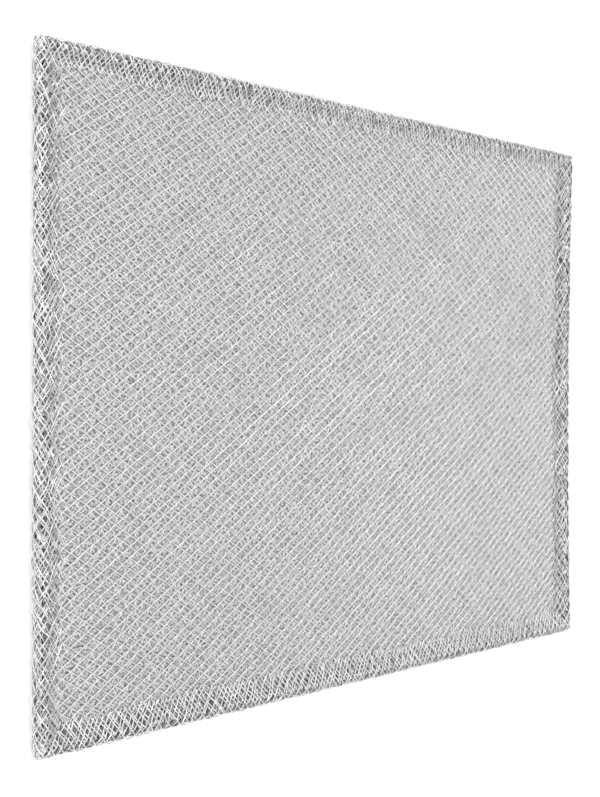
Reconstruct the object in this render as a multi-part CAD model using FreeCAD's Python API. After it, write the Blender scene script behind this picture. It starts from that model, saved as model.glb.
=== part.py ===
"""Cooker hood grease filter: sheets of expanded aluminium mesh held by an outer mesh with folded hems.

The filter lies flat with its front face up.  X runs along the length and Y along the width.
The origin is at the middle of the underside.
"""

import FreeCAD, Part
import math
import os

Vector = FreeCAD.Vector

# Driving dimensions, in millimetres
LENGTH = 320.0  # outside length, along X
WIDTH = 250.0  # outside width, along Y
SHEET = 1.25  # thickness of one sheet of mesh
INNER_LAYERS = 2  # sheets between the front mesh and the back of the outer mesh
HEM_CROWN = 1.35  # height of the rolled edge over the flat strip of a hem
HEM_LEFT = 11.5  # width of each hem on the front, from the outside edge
HEM_RIGHT = 13.0
HEM_TOP = 10.5
HEM_BOTTOM = 12.8
HEM_LAND = 2.0  # flat strip of a hem that lies on the front mesh
INNER_PLAY = 0.3  # room between the inner sheets and the bend of the outer mesh

# The mesh: diamond cells in expanded sheet, longer one way than the other
CELL_LONG = 6.3  # long diagonal of one real cell
CELL_SHORT = 4.2  # short diagonal of one real cell
FLAT_CELLS_IN_ONE = 7  # real cells, each way, that one modelled cell stands for on the flat sheets
HEM_CELLS_IN_ONE = 3  # and along the hems
STRAND_RISE = 0.5  # height of the strands over the middle of a cell
GAP_SHARE = 0.65  # a gap's diagonals as a share of its cell's

# Steps of the strands across a hem: round the rolled edge, down the slope and over the land
ROLL_STEPS = 4
SLOPE_STEPS = 2

# Worked out from the above
FRONT_TOP = SHEET * (INNER_LAYERS + 2)  # top of the front mesh, on which the hems lie
ROLL_TOP = FRONT_TOP + SHEET + HEM_CROWN
ROLL_RADIUS = ROLL_TOP / 2  # outside radius of the rolled edge
FLAT_LONG = CELL_LONG * FLAT_CELLS_IN_ONE
FLAT_SHORT = CELL_SHORT * FLAT_CELLS_IN_ONE
HEM_LONG = CELL_LONG * HEM_CELLS_IN_ONE
HEM_SHORT = CELL_SHORT * HEM_CELLS_IN_ONE
SIDES = ("left", "right", "bottom", "top")
HEMS = {"left": HEM_LEFT, "right": HEM_RIGHT, "bottom": HEM_BOTTOM, "top": HEM_TOP}


# Building blocks


def polygon_wire(points):
    return Part.makePolygon(points + points[:1])


def polygon_face(points):
    return Part.Face(polygon_wire(points))


def face_with_holes(outline, holes):
    wires = [polygon_wire(outline)] + [polygon_wire(hole) for hole in holes]
    return Part.makeFace(wires, "Part::FaceMakerBullseye")


def solid_of(faces):
    """One closed solid from faces that meet along their edges."""
    shell = Part.makeCompound(faces)
    shell.sewShape()
    solid = Part.makeSolid(shell.Shells[0])
    if solid.Volume < 0:
        solid.reverse()
    return solid


def inset_rectangle(insets, z):
    """Corners of the outside rectangle drawn in by a distance on each side, at height z."""
    low_x, high_x = -LENGTH / 2 + insets["left"], LENGTH / 2 - insets["right"]
    low_y, high_y = -WIDTH / 2 + insets["bottom"], WIDTH / 2 - insets["top"]
    return [
        Vector(low_x, low_y, z),
        Vector(high_x, low_y, z),
        Vector(high_x, high_y, z),
        Vector(low_x, high_y, z),
    ]


def same_inset(distance):
    return {side: distance for side in SIDES}


# Diamond mesh


class DiamondGrid:
    """Half cells over a rectangle.

    Strands cross where i + j is even, and the middle of a cell lies where it is odd.
    A shift of 1 swaps the two, so that the strands of one sheet lie over the gaps of another.
    """

    def __init__(self, corners, pitch_x, pitch_y, shift=0):
        self.low, self.high = corners[0], corners[2]
        self.shift = shift
        self.count_x = 2 * max(1, round((self.high.x - self.low.x) / pitch_x))
        self.count_y = 2 * max(1, round((self.high.y - self.low.y) / pitch_y))
        self.step_x = (self.high.x - self.low.x) / self.count_x
        self.step_y = (self.high.y - self.low.y) / self.count_y

    def at(self, i, j, z):
        return Vector(self.low.x + i * self.step_x, self.low.y + j * self.step_y, z)

    def cell_middles(self):
        """Middles of the cells that lie wholly inside the rectangle."""
        return [
            (i, j)
            for i in range(1, self.count_x)
            for j in range(1, self.count_y)
            if (i + j + self.shift) % 2 == 1
        ]

    def cell_outline(self, i, j, z):
        """The four crossings of strands round one cell."""
        return [self.at(p, q, z) for p, q in ((i + 1, j), (i, j + 1), (i - 1, j), (i, j - 1))]

    def gap_outline(self, i, j, z):
        """Corners of the gap in one cell, drawn in from the cell's own corners."""
        middle = self.at(i, j, z)
        return [middle + (corner - middle) * GAP_SHARE for corner in self.cell_outline(i, j, z)]

    def zigzag(self, z):
        """The crossings round all the whole cells, in order: the edge of the open field."""
        last_x, last_y = self.count_x, self.count_y
        bottom = [(i, 1 - (i + 1) % 2) for i in range(1, last_x)]
        right = [(last_x - 1 + (j + 1) % 2, j) for j in range(2, last_y - 1)]
        top = [(i, last_y - 1 + (i + 1) % 2) for i in range(last_x - 1, 0, -1)]
        left = [(1 - (j + 1) % 2, j) for j in range(last_y - 2, 1, -1)]
        return [self.at(i, j, z) for i, j in bottom + right + top + left]


def walls_between(upper, lower):
    """Faces between two outlines of as many points, such as the upper and lower edge of a gap."""
    count = len(upper)
    return [
        polygon_face([upper[k], upper[(k + 1) % count], lower[(k + 1) % count], lower[k]])
        for k in range(count)
    ]


def flat_sheet(corners, z, pitch_x, pitch_y):
    """A hidden sheet: flat, with gaps cut straight through, over the strands of the sheet two below."""
    grid = DiamondGrid(corners, pitch_x, pitch_y, shift=1)
    outline = [Vector(p.x, p.y, z) for p in corners]
    gaps = [grid.gap_outline(i, j, z) for i, j in grid.cell_middles()]
    return face_with_holes(outline, gaps).extrude(Vector(0, 0, SHEET))


def ridged_sheet(corners, field_corners, z, pitch_x, pitch_y):
    """A sheet whose strands stand up as ridges over the field, with a flat margin round it."""
    top, bottom = z + SHEET, z
    grid = DiamondGrid(field_corners, pitch_x, pitch_y)
    gaps = grid.cell_middles()
    rim_height = top - STRAND_RISE * (1 - GAP_SHARE)
    faces = []
    for i, j in gaps:
        ridge = grid.cell_outline(i, j, top)
        rim = grid.gap_outline(i, j, rim_height)
        faces += walls_between(ridge, rim)
        faces += walls_between(rim, grid.gap_outline(i, j, bottom))
    outline_top = [Vector(p.x, p.y, top) for p in corners]
    outline_bottom = [Vector(p.x, p.y, bottom) for p in corners]
    faces.append(face_with_holes(outline_top, [grid.zigzag(top)]))
    faces.append(face_with_holes(outline_bottom, [grid.gap_outline(i, j, bottom) for i, j in gaps]))
    faces += walls_between(outline_top, outline_bottom)
    return solid_of(faces)


# The outer mesh: back, rolled edges and hems folded from one sheet


def hem_section(offset):
    """Points of a hem's section as (inset by side, height, outward normal).

    The section runs from the back, round the rolled edge, down the slope and over the land.
    The offset moves it inwards through the sheet.
    """
    points = []
    radius = ROLL_RADIUS - offset
    for k in range(ROLL_STEPS + 1):
        turn = math.pi * k / ROLL_STEPS
        inset = ROLL_RADIUS - radius * math.sin(turn)
        height = ROLL_RADIUS - radius * math.cos(turn)
        points.append((same_inset(inset), height, (math.sin(turn), -math.cos(turn))))
    land_height = FRONT_TOP + SHEET - offset
    crest_height = ROLL_TOP - offset
    for k in range(1, SLOPE_STEPS + 1):
        share = k / SLOPE_STEPS
        insets = {s: ROLL_RADIUS + (HEMS[s] - HEM_LAND - ROLL_RADIUS) * share for s in SIDES}
        points.append((insets, crest_height + (land_height - crest_height) * share, (0.0, 1.0)))
    points.append((dict(HEMS), land_height, (0.0, 1.0)))
    return points


def sunk_loop(point, depth):
    """Corners of the rectangle through one section point, moved in by depth along the normal."""
    insets, height, (out, up) = point
    moved = {side: inset + out * depth for side, inset in insets.items()}
    return inset_rectangle(moved, height - up * depth)


def hem_faces():
    """Outer skin of the hems: strands as ridges on the diagonals, cells sunk between them."""
    section = hem_section(0.0)
    last = len(section) - 1
    counts = [2 * max(1, round(LENGTH / HEM_SHORT)), 2 * max(1, round(WIDTH / HEM_LONG))]

    def skin_point(side, i, row):
        sunk = (i + row) % 2 == 1 and 0 < row < last
        loop = sunk_loop(section[row], STRAND_RISE if sunk else 0.0)
        start, end = loop[side], loop[(side + 1) % 4]
        return start + (end - start) * (i / counts[side % 2])

    faces = []
    for side in range(4):
        for i in range(counts[side % 2]):
            for row in range(last):
                a, b = skin_point(side, i, row), skin_point(side, i + 1, row)
                d, c = skin_point(side, i, row + 1), skin_point(side, i + 1, row + 1)
                if (i + row) % 2 == 0:
                    faces += [polygon_face([a, b, c]), polygon_face([a, c, d])]
                else:
                    faces += [polygon_face([a, b, d]), polygon_face([b, c, d])]
    foot = [skin_point(side, i, 0) for side in range(4) for i in range(counts[side % 2])]
    lips = [[skin_point(side, i, last) for i in range(counts[side % 2] + 1)] for side in range(4)]
    return faces, foot, lips


def lining_faces():
    """Inner skin of the hems, plain, with its first loop on the floor and its last under the lips."""
    loops = [sunk_loop(point, 0.0) for point in hem_section(SHEET)]
    faces = []
    for low, high in zip(loops, loops[1:]):
        faces += walls_between(low, high)
    return faces, loops[0], loops[-1]


def outer_mesh():
    skin, foot, lips = hem_faces()
    lining, floor, under_lips = lining_faces()
    grid = DiamondGrid(floor, FLAT_SHORT, FLAT_LONG)
    gaps = grid.cell_middles()
    faces = skin + lining
    faces.append(face_with_holes(foot, [grid.gap_outline(i, j, 0.0) for i, j in gaps]))
    faces.append(face_with_holes(floor, [grid.gap_outline(i, j, SHEET) for i, j in gaps]))
    for i, j in gaps:
        faces += walls_between(grid.gap_outline(i, j, SHEET), grid.gap_outline(i, j, 0.0))
    for side, lip in enumerate(lips):
        faces.append(polygon_face([under_lips[side]] + lip + [under_lips[(side + 1) % 4]]))
    return solid_of(faces)


# The inner sheets and the front mesh


def inner_corners():
    """Outline shared by the sheets inside: they end where the outer mesh starts to bend."""
    return inset_rectangle(same_inset(ROLL_RADIUS + INNER_PLAY), 0.0)


def inner_sheets():
    """Sheets between front and back, from the top down, each turned a quarter from its neighbours."""
    sheets = {}
    for layer in range(INNER_LAYERS):
        z = SHEET * (INNER_LAYERS - layer)
        pitches = (FLAT_SHORT, FLAT_LONG) if layer % 2 == 0 else (FLAT_LONG, FLAT_SHORT)
        sheets[f"inner_mesh_{layer + 1}"] = flat_sheet(inner_corners(), z, *pitches)
    return sheets


def front_mesh():
    field = inset_rectangle(HEMS, 0.0)
    return ridged_sheet(inner_corners(), field, FRONT_TOP - SHEET, FLAT_LONG, FLAT_SHORT)


def main():
    os.makedirs("parts", exist_ok=True)
    nodes = {"outer_mesh": outer_mesh(), "front_mesh": front_mesh(), **inner_sheets()}
    for name, shape in nodes.items():
        shape.exportStep(f"parts/{name}.step")
        state = "valid" if shape.isValid() else "NOT VALID"
        print(f"{name}: {state}, {shape.Volume:.0f} mm3, {len(shape.Faces)} faces")


main()
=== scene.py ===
import math
from collections import namedtuple

import bpy
import numpy as np
from mathutils import Matrix, Vector


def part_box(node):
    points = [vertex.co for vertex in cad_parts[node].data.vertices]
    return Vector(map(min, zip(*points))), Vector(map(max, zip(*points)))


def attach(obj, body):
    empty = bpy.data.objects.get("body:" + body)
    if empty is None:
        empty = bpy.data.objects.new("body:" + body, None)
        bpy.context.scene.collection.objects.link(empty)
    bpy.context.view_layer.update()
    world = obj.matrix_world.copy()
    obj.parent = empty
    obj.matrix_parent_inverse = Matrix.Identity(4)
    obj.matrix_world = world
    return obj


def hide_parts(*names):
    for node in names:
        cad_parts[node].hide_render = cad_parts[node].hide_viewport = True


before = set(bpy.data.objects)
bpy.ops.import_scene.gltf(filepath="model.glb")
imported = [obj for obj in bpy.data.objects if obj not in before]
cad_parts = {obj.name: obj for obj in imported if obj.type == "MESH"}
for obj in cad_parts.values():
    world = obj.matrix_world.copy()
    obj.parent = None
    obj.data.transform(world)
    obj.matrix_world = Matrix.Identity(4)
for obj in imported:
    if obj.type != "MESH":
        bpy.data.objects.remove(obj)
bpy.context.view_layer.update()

MM = 0.001

# The filter's own sizes, from the frame and from the folding of its outer mesh
OUTER_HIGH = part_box("outer_mesh")[1]
HALF_LENGTH, HALF_WIDTH = OUTER_HIGH[0], OUTER_HIGH[1]
ROLL_RADIUS = OUTER_HIGH[2] / 2
FRONT_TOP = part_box("front_mesh")[1][2]
HEM = {"left": 11.5 * MM, "right": 13.0 * MM, "bottom": 12.8 * MM, "top": 10.5 * MM}
HEM_LAND = 2.0 * MM  # flat strip of a hem that lies on the front mesh
SHOWN_MARGIN = 2 * HEM_LAND  # how far under the hems the shown part of a sheet goes on
LAND = {"left": 0.6 * MM, "right": HEM_LAND, "bottom": HEM_LAND, "top": HEM_LAND}
# Rise of the middle of a hem's sheet over the front mesh at that strip
LAND_RISE = {"left": 0.0, "right": -0.6 * MM, "bottom": -0.4 * MM, "top": -0.4 * MM}
LAND_PRESS = 0.3  # how far the turns of a hem are pressed together there
HEM_WAVE = 0.5 * MM  # how far the cut edge of a hem wanders
HEM_WAVE_LENGTHS = (0.083, 0.031)
HEM_SPARE = 1.2 * MM  # how far a hem's section is drawn on past its mean edge
SHEET_SWAY, TURN_SWAY = 0.3 * MM, 0.5 * MM  # how far folding draws the cells out of line
SWAY_ALONG, SWAY_ACROSS = (0.037, 0.053), (0.041, 0.059)  # its wave lengths
CORNER_RADIUS = 3.2 * MM
TINY = 1e-9
RIGHT_EDGE_BOW = 2.7 * MM
RIGHT_EDGE_LEAN = 1.5 * MM
BOW_START = 0.4  # where the bend of that edge starts, as a share of the half length
SKIN = 0.42 * MM  # from the outside of the rolled edge to the middle of its strands
SKIN_MARGIN = 0.04 * MM
FACE_MARGIN = 0.02 * MM  # kept between the strands and the faces of the outer mesh
TURNS = (0.0, 0.35 * MM, 0.75 * MM)  # depth of the crumpled turns of a hem inside the first
TURN_SHIFTS = (0.5, 0.25)  # of their cells against those of the first, in cells
TURN_SHORT = 2.5  # how much narrower a turn is than the first, for its depth
# Depth of the dark turn of painted shade inside the rolled edges, which stands for the shade in them, and
# of the notches between the lobes of an edge
SHADE_LINING = {"left": 0.85 * MM, "right": 0.6 * MM, "bottom": 0.6 * MM, "top": 0.7 * MM}
SCALLOP = {"left": 0.3 * MM, "right": 0.3 * MM, "bottom": 0.35 * MM, "top": 0.4 * MM}
# Corner of a side hem that lies under the top or bottom hem, drawn in painted shade
UNDERLAP_DROP = 1.2 * MM
UNDERLAP_INSET = 1.2 * MM

# Expanded mesh: diamond cells between straight flat strands that cross at small bonds
CELL = (6.3 * MM, 4.18 * MM)
FINE_CELL = (3.15 * MM, 2.09 * MM)
TURN_CELLS = (CELL, (5.0 * MM, 3.32 * MM))
FLAT, RIDGED = 4, 3  # corners of a strand's section
FRONT_STRAND = (0.43 * MM, 0.18 * MM, FLAT)
SHADE_LINE_STRAND = (0.30 * MM, 0.10 * MM, RIDGED)  # a dark strand of painted shade laid beside each falling strand, where it would be in shade
SHADE_LINE_OFFSET, SHADE_LINE_DROP = 0.34 * MM, 0.08 * MM
SHADE_LINE_ASIDE = np.array([CELL[1], CELL[0], 0.0]) / math.hypot(*CELL) * SHADE_LINE_OFFSET
SHADE_LINE_ASIDE[2] = -SHADE_LINE_DROP
HEM_STRAND = (0.43 * MM, 0.20 * MM, FLAT)
TURN_STRAND = (0.42 * MM, 0.20 * MM, RIDGED)
SHADE_LINING_STRAND = (1.10 * MM, 0.24 * MM, RIDGED)
INNER_STRAND = (0.33 * MM, 0.14 * MM, FLAT)
FILL_STRAND = (1.35 * MM, 0.20 * MM, RIDGED)

# Along a strand, in crossings: between tests against an outline, the shortest stretch, the least share of a
# step at its ends, between the points of a strand on the hems, their turns and the back, and past the sheet
OUTLINE_STEP = 0.25
SHORTEST_RUN = 0.1
CLOSEST_STOP = 0.1
HEM_STEP, TURN_STEP, BACK_STEP = 0.5, 1, 2
SPARE_CROSSINGS = 4

# Lean of the flat strands in degrees: the mean for rising and falling strands, then its spread
# from strand to strand and along a strand
FRONT_LEAN = {1: (-11, 2.5, 3.5), -1: (15, 2, 3)}
HEM_LEAN = {1: (13, 6, 14), -1: (6, 10, 16)}
INNER_LEAN = {1: (10, 2, 3), -1: (8, 2, 3)}
FILL_LEAN = {1: (0, 4, 4), -1: (0, 4, 4)}

# Scatter of the crossings in the sheet and out of it
PLACE_SCATTER = 0.05 * MM
HEIGHT_SCATTER = 0.04 * MM
MOST_SCATTER = 2  # in standard deviations
HEM_SCATTER = 5.0  # how much more uneven the hems are than the pressed panel
INNER_SCATTER = 1.5
FILL_SCATTER = 2.0

# The camera that sees the filter's edges as the photograph does
PHOTO_HEIGHT = 797
FOCAL_PIXELS = 1192.2
SENSOR = 36.0
CAMERA_PLACE = Vector((-0.37197, 0.00743, 0.36304))
CAMERA_TARGET = Vector((-0.03574, -0.00094, 0.005))
CAMERA_ROLL = math.radians(0.27)
CLIP_START = 0.01

# Foils, in the order of the four finishes: the spread is that of the patches about the tone, and the grain
# is the number of patches in a metre
BRIGHT, PAINTED_SHADE, FILL, PANEL = range(4)
Foil = namedtuple("Foil", "name tone roughness metal spread grain")
# The second foil is painted shade: a dark tone given to strands that stand in shade, inside the rolled
# edges, under the hems and beside the falling strands.
FOILS = (Foil("bright_foil", 0.92, 0.30, 1.0, 0.15, 700.0),
         Foil("painted_shade_foil", 0.34, 0.45, 1.0, 0.15, 700.0),
         # The third foil's low tone is painted shade of the deeper layers seen between the front strands;
         # its roughness and part metal finish are its own.
         Foil("dull_painted_shade_foil", 0.56, 0.80, 0.4, 0.56, 1100.0),
         Foil("pressed_foil", 0.93, 0.30, 1.0, 0.15, 700.0))
PATCH_DETAIL = 3.0
PATCH_RANGE = (0.36, 0.64)
LIGHTEST = 0.98
COOLNESS = 1.008
ROUGHNESS_RANGE = (0.75, 1.3)
COLOUR_FACTOR, COLOUR_A, COLOUR_B, COLOUR_RESULT = 0, 6, 7, 2  # sockets of a colour mix
MARK_GRAIN, MARK_STRENGTH, MARK_DEPTH = 2600.0, 0.12, 0.0001
# The third turn of the right, bottom and top hems is in painted shade, a dark foil for the shade deep in
# the hem.
TURN_LOOKS = {"left": (BRIGHT, BRIGHT), "right": (BRIGHT, PAINTED_SHADE),
              "bottom": (BRIGHT, PAINTED_SHADE), "top": (BRIGHT, PAINTED_SHADE)}

# Layers of the flat sheets: the way of the long diagonals, the depth under the top of the sheet, the
# crossings between two points of a strand, and whether the falling strands have a dark strand of painted
# shade beside them
Layer = namedtuple("Layer", "long_way cell section leans depth scatter step finish turned")
FRONT_LAYERS = (Layer("x", CELL, FRONT_STRAND, FRONT_LEAN, 1.00 * MM, 1.0, 1, PANEL, True),)
FIRST_LAYERS = (Layer("y", CELL, INNER_STRAND, INNER_LEAN, 0.12 * MM, INNER_SCATTER, 2, PANEL, False),
                Layer("x", FINE_CELL, FILL_STRAND, FILL_LEAN, 0.24 * MM, FILL_SCATTER, 6, FILL, False),
                Layer("y", FINE_CELL, FILL_STRAND, FILL_LEAN, 0.38 * MM, FILL_SCATTER, 6, FILL, False))
MIDDLE_LAYERS = (Layer("y", FINE_CELL, FILL_STRAND, FILL_LEAN, 0.10 * MM, FILL_SCATTER, 6, FILL, False),
                 Layer("x", FINE_CELL, FILL_STRAND, FILL_LEAN, 0.40 * MM, FILL_SCATTER, 6, FILL, False))

# Seeds of the random draws
FRONT_SEED, FIRST_SEED, MIDDLE_SEED, LAYER_SEEDS = 11, 12, 13, 100
OUTER_SEED, OUTER_LEAN_SEED, TURN_SEED, TURN_SEEDS, SHADE_LINING_SEED = 41, 43, 50, 10, 80

# Floor and lights
FLOOR_SIZE, FLOOR_TONE, FLOOR_ROUGHNESS = 40.0, 0.93, 0.9
FLOOR_LIFT = 0.32
ROOM_LIGHT = (0.56, 0.97)  # at the horizon and overhead
Lamp = namedtuple("Lamp", "name place target size power")
LAMPS = (Lamp("ceiling", (0.25, 0.00, 1.55), (0, 0, 0), (1.40, 1.00), 0.30),
         Lamp("front_fill", (-0.62, 0.30, 0.80), (-0.10, 0, 0), (0.90, 0.70), 1.80),
         Lamp("strip_low", (1.10, 0.06, 1.13), (0, 0, 0), (0.66, 0.66), 1.30),
         Lamp("strip_far", (1.50, 0.00, 0.48), (0, 0, 0), (0.50, 0.30), 0.40))


# Expanded mesh


class Sheet:
    """Crossings of the strands of a sheet: u along the cells, v across them, w out of the sheet."""

    def __init__(self, seed, half_u, half_v, cell=CELL, scatter=1.0, offset=(0.0, 0.0), sway=0.0):
        self.long, self.short = cell
        self.offset = np.array([offset[0], offset[1], 0.0])
        self.columns = int(half_u / (self.long / 2)) + SPARE_CROSSINGS
        self.rows = int(half_v / (self.short / 2)) + SPARE_CROSSINGS
        random = np.random.default_rng(seed)
        shape = (2 * self.columns + 1, 2 * self.rows + 1)
        spread = np.array([PLACE_SCATTER, PLACE_SCATTER, HEIGHT_SCATTER]) * scatter
        self.shift = random.normal(0, 1, shape + (3,)).clip(-MOST_SCATTER, MOST_SCATTER) * spread
        self.sway = sway
        self.phases = random.uniform(0, 2 * math.pi, 2)

    def strand(self, way, number, t):
        """Places along one strand, which passes a crossing at each whole value of t."""
        before = np.floor(t).astype(int)
        share = (t - before)[:, None]
        ends = []
        for row in (before, before + 1):
            column = number + way * row
            index = (np.clip(column, -self.columns, self.columns) + self.columns,
                     np.clip(row, -self.rows, self.rows) + self.rows)
            regular = np.stack([column * self.long / 2, row * self.short / 2, np.zeros(len(t))], 1)
            ends.append(regular + self.shift[index])
        places = ends[0] * (1 - share) + ends[1] * share + self.offset
        u, v = places[:, 0] * 2 * math.pi, places[:, 1] * 2 * math.pi
        places[:, 0] += self.sway * np.sin(u / SWAY_ALONG[0] + v / SWAY_ALONG[1] + self.phases[0])
        places[:, 1] += self.sway * np.sin(v / SWAY_ACROSS[0] - u / SWAY_ACROSS[1] + self.phases[1])
        return places

    def runs(self, outline, step):
        """Lines of the stretches of strands inside an outline, a signed distance, positive inside."""
        for way in (1, -1):
            most = self.columns + self.rows
            for number in range(-most + most % 2, most + 1, 2):
                middle = -way * number
                first = max(-self.rows, middle - self.columns)
                last = min(self.rows, middle + self.columns)
                if last - first < 1:
                    continue
                t = np.arange(first, last, OUTLINE_STEP)
                depth = outline(*self.strand(way, number, t)[:, :2].T)
                within = depth > 0
                change = np.flatnonzero(within[1:] != within[:-1])
                cuts = t[change] + OUTLINE_STEP * depth[change] / (depth[change] - depth[change + 1])
                bounds = list(cuts)
                if within[0]:
                    bounds.insert(0, t[0])
                if within[-1]:
                    bounds.append(t[-1])
                for start, end in zip(bounds[0::2], bounds[1::2]):
                    if end - start < SHORTEST_RUN:
                        continue
                    stops = np.arange(math.ceil(start / step), math.floor(end / step) + 1) * step
                    near = CLOSEST_STOP * step
                    stops = stops[(stops > start + near) & (stops < end - near)]
                    yield way, self.strand(way, number, np.concatenate([[start], stops, [end]]))


class StrandMesh:
    """Gathers flat strands and makes one mesh of them."""

    def __init__(self, seed):
        self.random = np.random.default_rng(seed)
        self.points = []
        self.faces = []
        self.finishes = []
        self.count = 0

    def add(self, way, line, section, leans, to_place, finish, shade_sides=None):
        """One strand along a middle line in sheet coordinates, carried to its place by a function.

        The sides between its two flat faces can have a finish of their own, which puts painted shade on the
        sides of the falling strands.
        """
        width, thickness, corners = section
        mean, strand_spread, point_spread = leans[way]
        along = np.array([CELL[0], way * CELL[1]]) / math.hypot(*CELL)
        across = np.array([-along[1], along[0], 0.0])
        out = np.array([0.0, 0.0, 1.0])
        degrees = mean + self.random.normal(0, strand_spread)
        degrees = degrees + self.random.normal(0, point_spread, len(line))
        lean = np.radians(degrees)[:, None]
        wide = (across * np.cos(lean) + out * np.sin(lean)) * width / 2
        thick = (out * np.cos(lean) - across * np.sin(lean)) * thickness / 2
        low = [-wide - thick, wide - thick] if corners == FLAT else [-thick]
        ring = np.stack([wide + thick, -wide + thick] + low, 1) + line[:, None, :]
        placed = to_place(ring.reshape(-1, 3))
        self.points.append(placed)

        steps = np.arange(len(line) - 1)[:, None] * corners + self.count
        sides, looks = [], []
        for k in range(corners):
            after = (k + 1) % corners
            sides.append(np.concatenate([steps + k, steps + after,
                                         steps + after + corners, steps + k + corners], 1))
            looks += [shade_sides if shade_sides is not None and k % 2 == 1 else finish] * len(steps)
        last = self.count + corners * (len(line) - 1)
        faces = np.concatenate(sides).tolist()
        faces.append([self.count + k for k in reversed(range(corners))])
        faces.append([last + k for k in range(corners)])
        first_side = np.cross(placed[1] - placed[0], placed[corners] - placed[0])
        if np.dot(first_side, placed[0] - placed[2]) < 0:
            faces = [face[::-1] for face in faces]
        self.faces += faces
        self.finishes += looks + [finish, finish]
        self.count += corners * len(line)

    def build(self, name, node, materials):
        """Makes the piece that stands for a node."""
        mesh = bpy.data.meshes.new(name)
        mesh.from_pydata(np.concatenate(self.points).tolist(), [], self.faces)
        mesh.update()
        for material in materials:
            mesh.materials.append(material)
        mesh.polygons.foreach_set("material_index", np.array(self.finishes, dtype=np.int32))
        piece = bpy.data.objects.new(name, mesh)
        bpy.context.scene.collection.objects.link(piece)
        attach(piece, "root")
        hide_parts(node)


def bow_in(points):
    """The right-hand edge bends in a little at its middle."""
    share = np.clip((points[:, 0] / HALF_LENGTH - BOW_START) / (1 - BOW_START), 0, 1) ** 2
    place = points[:, 1] / HALF_WIDTH
    points[:, 0] -= share * (RIGHT_EDGE_BOW * (1 - place ** 2) + RIGHT_EDGE_LEAN * (1 + place) / 2)
    return points


def flat_mesh(name, node, seed, layers, painted_shade_margin, materials):
    """Flat layers of strands inside the outline of a node, with their long diagonals along X or along Y,
    and painted shade on the part under the hems if asked.
    """
    high = np.array(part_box(node)[1])
    strands = StrandMesh(seed)
    for number, layer in enumerate(layers):
        half_u, half_v = (high[0], high[1]) if layer.long_way == "x" else (high[1], high[0])
        sheet = Sheet(seed + LAYER_SEEDS * number, half_u, half_v, layer.cell, layer.scatter)

        def plan(u, v):
            return (u, v) if layer.long_way == "x" else (v, u)

        def to_place(ring):
            x, y = plan(ring[:, 0], ring[:, 1])
            return bow_in(np.stack([x, y, high[2] - layer.depth + ring[:, 2]], 1))

        def whole(u, v):
            return np.minimum(half_u - np.abs(u), half_v - np.abs(v)) - layer.section[0] / 2

        def window(u, v):
            x, y = plan(u, v)
            sides = [x + HALF_LENGTH - HEM["left"], HALF_LENGTH - HEM["right"] - x,
                     y + HALF_WIDTH - HEM["bottom"], HALF_WIDTH - HEM["top"] - y]
            return np.min(sides, axis=0) + SHOWN_MARGIN

        def margin(u, v):
            return np.minimum(whole(u, v), -window(u, v))

        # Under the hems the inner sheets can be drawn in painted shade
        hidden = PAINTED_SHADE if painted_shade_margin else layer.finish
        for outline, look in ((window, layer.finish), (margin, hidden)):
            for way, line in sheet.runs(outline, layer.step):
                falling = way == -1
                # The sides of the falling strands of the panel are in painted shade
                shade_sides = PAINTED_SHADE if look == PANEL and falling else None
                strands.add(way, line, layer.section, layer.leans, to_place, look, shade_sides)
                # A dark strand of painted shade beside each shown falling strand
                if layer.turned and falling and outline is window:
                    strands.add(way, line + SHADE_LINE_ASIDE, SHADE_LINE_STRAND, FILL_LEAN, to_place, PAINTED_SHADE)
    strands.build(name, node, materials)


# The outer mesh with its rolled edges and hems


class HemSection:
    """The middle of the sheet across one hem, by the distance from where the back starts to bend."""

    def __init__(self, hem, land_width, rise):
        self.radius = ROLL_RADIUS - SKIN
        self.roll = math.pi * self.radius
        land_start = hem - land_width
        crest, land = 2 * ROLL_RADIUS - SKIN, FRONT_TOP + rise
        slope = math.hypot(land_start - ROLL_RADIUS, crest - land)
        self.length = self.roll + slope + land_width
        self.stops = np.array([self.roll, self.roll + slope, self.length + HEM_SPARE])
        self.insets = np.array([ROLL_RADIUS, land_start, hem + HEM_SPARE])
        self.heights = np.array([crest, land, land])

    def at(self, s):
        """Inset from the edge, height, and outward normal as (towards the edge, up)."""
        turn = np.clip(s / self.radius, 0, math.pi)
        on_roll = s < self.roll
        past_roll = np.interp(s, self.stops, self.insets), np.interp(s, self.stops, self.heights)
        inset = np.where(on_roll, ROLL_RADIUS - self.radius * np.sin(turn), past_roll[0])
        height = np.where(on_roll, ROLL_RADIUS - self.radius * np.cos(turn), past_roll[1])
        inset = np.where(s < 0, ROLL_RADIUS - s, inset)
        height = np.where(s < 0, SKIN, height)
        return inset, height, np.sin(turn), -np.cos(turn)

    def front_height(self, inset):
        """Height of the middle of the sheet on the front of the hem, at an inset from the edge."""
        across = np.clip((ROLL_RADIUS - inset) / self.radius, 0, 1)
        arch = ROLL_RADIUS + self.radius * np.sqrt(1 - across ** 2)
        return np.where(inset < ROLL_RADIUS, arch, np.interp(inset, self.insets, self.heights))


def round_corners(points):
    """Draws the four corners of the plan in to a radius."""
    over_x = np.abs(points[:, 0]) - (HALF_LENGTH - CORNER_RADIUS)
    over_y = np.abs(points[:, 1]) - (HALF_WIDTH - CORNER_RADIUS)
    corner = (over_x > 0) & (over_y > 0)
    far = np.maximum(over_x, over_y)
    scale = np.where(corner, far / np.maximum(np.hypot(over_x, over_y), TINY), 1.0)
    for axis, over in ((0, over_x), (1, over_y)):
        drawn = np.abs(points[:, axis]) - over * (1 - scale)
        points[:, axis] = np.where(corner, np.sign(points[:, axis]) * drawn, points[:, axis])
    return points


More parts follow.
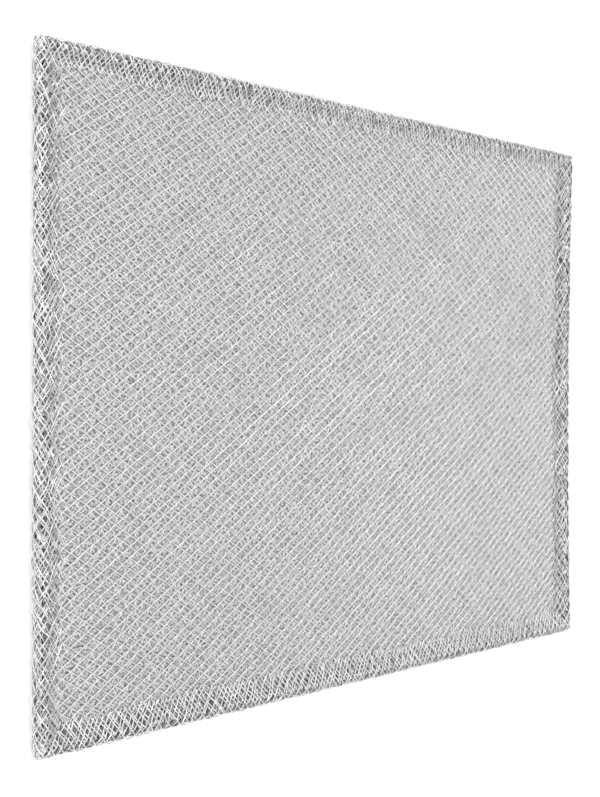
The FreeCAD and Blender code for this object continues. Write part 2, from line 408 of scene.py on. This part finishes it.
def outer_mesh(materials):
    """The back, the rolled edges and the hems, with the cells' long diagonals along Y."""
    sections = {side: HemSection(width, LAND[side], LAND_RISE[side]) for side, width in HEM.items()}
    flat_x, flat_y = HALF_LENGTH - ROLL_RADIUS, HALF_WIDTH - ROLL_RADIUS
    longest = max(section.length for section in sections.values()) + HEM_SPARE
    reach = (flat_y + longest, flat_x + longest)
    sheet = Sheet(OUTER_SEED, *reach, CELL, HEM_SCATTER, sway=SHEET_SWAY)
    strands = StrandMesh(OUTER_LEAN_SEED)

    def settle(x, y, z):
        z = np.clip(z, FACE_MARGIN, 2 * ROLL_RADIUS - FACE_MARGIN)
        return bow_in(round_corners(np.stack([x, y, z], 1)))

    def back(u, v):
        return np.minimum(flat_y - np.abs(u), flat_x - np.abs(v))

    def lay_back(ring):
        return settle(ring[:, 1], ring[:, 0], SKIN - ring[:, 2])

    for way, line in sheet.runs(back, BACK_STEP):
        strands.add(way, line, HEM_STRAND, HEM_LEAN, lay_back, BRIGHT)

    for place, (side, section) in enumerate(sections.items()):
        sign = 1 if side in ("right", "top") else -1
        upright = side in ("left", "right")
        flat, end = (flat_x, HALF_WIDTH) if upright else (flat_y, HALF_LENGTH)
        edge = HALF_LENGTH if upright else HALF_WIDTH
        pitch, phase = (CELL[0], CELL[0] / 2) if upright else (CELL[1], 0.0)
        turns = []
        for k, shift in enumerate(TURN_SHIFTS):
            seed = TURN_SEED + TURN_SEEDS * k + place
            turns.append(Sheet(seed, *reach, TURN_CELLS[k], HEM_SCATTER, (shift * CELL[0], 0.0), TURN_SWAY))
        shade_lining = Sheet(SHADE_LINING_SEED + place, *reach, CELL, HEM_SCATTER)

        def split(u, v):
            """Distance round the edge, and place along it."""
            return (sign * v - flat, u) if upright else (sign * u - flat, v)

        def strip(short):
            """Outline of a turn that ends short of the first one."""
            def outline(u, v):
                s, along = split(u, v)
                turn = along * 2 * math.pi
                wave = np.sin(turn / HEM_WAVE_LENGTHS[0] + place) + np.sin(turn / HEM_WAVE_LENGTHS[1])
                return np.min([s, section.length - short + HEM_WAVE * wave - s,
                               end - section.at(s)[0] - np.abs(along)], axis=0)
            return outline

        def roll(u, v):
            s, along = split(u, v)
            return np.min([s, section.roll - s,
                           end - section.at(s)[0] - CORNER_RADIUS - np.abs(along)], axis=0)

        def inside(drop):
            """Lays a strip at a depth below the first turn of the hem."""
            def lay(ring):
                s, along = split(ring[:, 0], ring[:, 1])
                inset, height, out, up = section.at(s)
                notch = np.sin(math.pi * (along - phase) / pitch) ** 2 * np.clip(out, 0, 1) ** 2
                press = np.interp(s, section.stops, [1.0, LAND_PRESS, LAND_PRESS])
                w = np.minimum(ring[:, 2], SKIN - SKIN_MARGIN) - SCALLOP[side] * notch - drop * press
                across = sign * (edge - inset + w * out)
                x, y = (across, along) if upright else (along, across)
                return settle(x, y, height + w * up)
            return lay

        for way, line in sheet.runs(strip(0), HEM_STEP):
            strands.add(way, line, HEM_STRAND, HEM_LEAN, inside(TURNS[0]), BRIGHT)
        for depth, turn, look in zip(TURNS[1:], turns, TURN_LOOKS[side]):
            for way, line in turn.runs(strip(TURN_SHORT * depth), TURN_STEP):
                strands.add(way, line, TURN_STRAND, HEM_LEAN, inside(depth), look)
        # A dark turn in painted shade inside the roll, where there is only shade
        for way, line in shade_lining.runs(roll, HEM_STEP):
            strands.add(way, line, SHADE_LINING_STRAND, HEM_LEAN, inside(SHADE_LINING[side]), PAINTED_SHADE)

        if not upright:
            continue

        def underlap(u, v):
            s, along = split(u, v)
            inset = section.at(s)[0]
            return np.min([s - section.roll / 2, section.length - s,
                           np.abs(along) - end + inset, end - UNDERLAP_INSET - np.abs(along)], axis=0)

        def lay_underlap(ring):
            s, along = split(ring[:, 0], ring[:, 1])
            inset, height = section.at(s)[:2]
            from_end = end - np.abs(along)
            cover = np.where(along > 0, sections["top"].front_height(from_end),
                             sections["bottom"].front_height(from_end))
            height = np.minimum(height, cover) - UNDERLAP_DROP
            return settle(sign * (edge - inset), along, height + ring[:, 2])

        # The corner under the other hem is drawn in painted shade
        for way, line in sheet.runs(underlap, HEM_STEP):
            strands.add(way, line, HEM_STRAND, HEM_LEAN, lay_underlap, PAINTED_SHADE)
    strands.build("outer_mesh_strands", "outer_mesh", materials)


# Material


def aluminium(foil):
    """Bare foil: a metal with faint rolling marks, dull patches and differences of tone."""
    material = bpy.data.materials.new(foil.name)
    material.use_nodes = True
    nodes, links = material.node_tree.nodes, material.node_tree.links
    shader = nodes["Principled BSDF"]
    shader.inputs["Metallic"].default_value = foil.metal
    place = nodes.new("ShaderNodeTexCoord")

    patches = nodes.new("ShaderNodeTexNoise")
    patches.inputs["Scale"].default_value = foil.grain
    patches.inputs["Detail"].default_value = PATCH_DETAIL
    links.new(place.outputs["Object"], patches.inputs["Vector"])
    share = nodes.new("ShaderNodeMapRange")
    share.inputs["From Min"].default_value, share.inputs["From Max"].default_value = PATCH_RANGE
    links.new(patches.outputs["Fac"], share.inputs["Value"])
    colour = nodes.new("ShaderNodeMix")
    colour.data_type = "RGBA"
    for socket, scale in ((COLOUR_A, 1 - foil.spread), (COLOUR_B, 1 + foil.spread)):
        level = min(foil.tone * scale, LIGHTEST)
        colour.inputs[socket].default_value = (level, level, level * COOLNESS, 1)
    links.new(share.outputs["Result"], colour.inputs[COLOUR_FACTOR])
    links.new(colour.outputs[COLOUR_RESULT], shader.inputs["Base Color"])

    rough = nodes.new("ShaderNodeMapRange")
    rough.inputs["To Min"].default_value = foil.roughness * ROUGHNESS_RANGE[0]
    rough.inputs["To Max"].default_value = foil.roughness * ROUGHNESS_RANGE[1]
    links.new(patches.outputs["Fac"], rough.inputs["Value"])
    links.new(rough.outputs["Result"], shader.inputs["Roughness"])

    marks = nodes.new("ShaderNodeTexNoise")
    marks.inputs["Scale"].default_value = MARK_GRAIN
    links.new(place.outputs["Object"], marks.inputs["Vector"])
    bump = nodes.new("ShaderNodeBump")
    bump.inputs["Strength"].default_value = MARK_STRENGTH
    bump.inputs["Distance"].default_value = MARK_DEPTH
    links.new(marks.outputs["Fac"], bump.inputs["Height"])
    links.new(bump.outputs["Normal"], shader.inputs["Normal"])
    return material


# Studio


def floor():
    """A plain floor that takes the shadow and looks white to the camera and in the metal."""
    bpy.ops.mesh.primitive_plane_add(size=FLOOR_SIZE, location=(0, 0, 0))
    plane = bpy.context.object
    plane.name = "floor"
    material = bpy.data.materials.new("white_floor")
    material.use_nodes = True
    nodes, links = material.node_tree.nodes, material.node_tree.links
    shader = nodes["Principled BSDF"]
    shader.inputs["Base Color"].default_value = (FLOOR_TONE, FLOOR_TONE, FLOOR_TONE, 1)
    shader.inputs["Roughness"].default_value = FLOOR_ROUGHNESS
    shader.inputs["Specular IOR Level"].default_value = 0.0
    shader.inputs["Emission Color"].default_value = (1, 1, 1, 1)
    rays = nodes.new("ShaderNodeLightPath")
    seen = rays.outputs["Is Camera Ray"]
    for kind in ("Is Glossy Ray", "Is Transmission Ray"):
        either = nodes.new("ShaderNodeMath")
        either.operation = "MAXIMUM"
        links.new(seen, either.inputs[0])
        links.new(rays.outputs[kind], either.inputs[1])
        seen = either.outputs["Value"]
    lift = nodes.new("ShaderNodeMath")
    lift.operation = "MULTIPLY"
    lift.inputs[1].default_value = FLOOR_LIFT
    links.new(seen, lift.inputs[0])
    links.new(lift.outputs["Value"], shader.inputs["Emission Strength"])
    plane.data.materials.append(material)


def softbox(lamp):
    """A rectangular lamp that faces its target."""
    light = bpy.data.lights.new(lamp.name, "AREA")
    light.shape = "RECTANGLE"
    light.size, light.size_y = lamp.size
    light.energy = lamp.power
    box = bpy.data.objects.new(lamp.name, light)
    box.location = lamp.place
    box.rotation_euler = (Vector(lamp.target) - Vector(lamp.place)).to_track_quat("-Z", "Y").to_euler()
    bpy.context.scene.collection.objects.link(box)


def studio():
    """A room that is lighter overhead than at the horizon, and the lamps."""
    world = bpy.data.worlds.new("studio")
    bpy.context.scene.world = world
    world.use_nodes = True
    nodes, links = world.node_tree.nodes, world.node_tree.links
    background = nodes["Background"]
    background.inputs["Color"].default_value = (1, 1, 1, 1)
    direction = nodes.new("ShaderNodeTexCoord")
    parts = nodes.new("ShaderNodeSeparateXYZ")
    links.new(direction.outputs["Generated"], parts.inputs["Vector"])
    level = nodes.new("ShaderNodeMapRange")
    level.inputs["To Min"].default_value, level.inputs["To Max"].default_value = ROOM_LIGHT
    links.new(parts.outputs["Z"], level.inputs["Value"])
    links.new(level.outputs["Result"], background.inputs["Strength"])
    for lamp in LAMPS:
        softbox(lamp)
    bpy.context.scene.view_settings.view_transform = "Standard"


def camera():
    """The camera at its place, turned to its target and rolled a little."""
    data = bpy.data.cameras.new("camera")
    data.sensor_fit = "VERTICAL"
    data.sensor_height = SENSOR
    data.lens = FOCAL_PIXELS * SENSOR / PHOTO_HEIGHT
    data.clip_start = CLIP_START
    eye = bpy.data.objects.new("camera", data)
    back = (CAMERA_PLACE - CAMERA_TARGET).normalized()
    level = Vector((0, 1, 0)).cross(back).normalized()
    right = level * math.cos(CAMERA_ROLL) + back.cross(level) * math.sin(CAMERA_ROLL)
    up = back.cross(right)
    eye.matrix_world = Matrix.Translation(CAMERA_PLACE) @ Matrix((right, up, back)).transposed().to_4x4()
    bpy.context.scene.collection.objects.link(eye)
    bpy.context.scene.camera = eye


def main():
    foils = [aluminium(foil) for foil in FOILS]
    flat_mesh("front_mesh_strands", "front_mesh", FRONT_SEED, FRONT_LAYERS, False, foils)
    flat_mesh("inner_mesh_1_strands", "inner_mesh_1", FIRST_SEED, FIRST_LAYERS, True, foils)
    flat_mesh("inner_mesh_2_strands", "inner_mesh_2", MIDDLE_SEED, MIDDLE_LAYERS, True, foils)
    outer_mesh(foils)
    floor()
    studio()
    camera()


main()
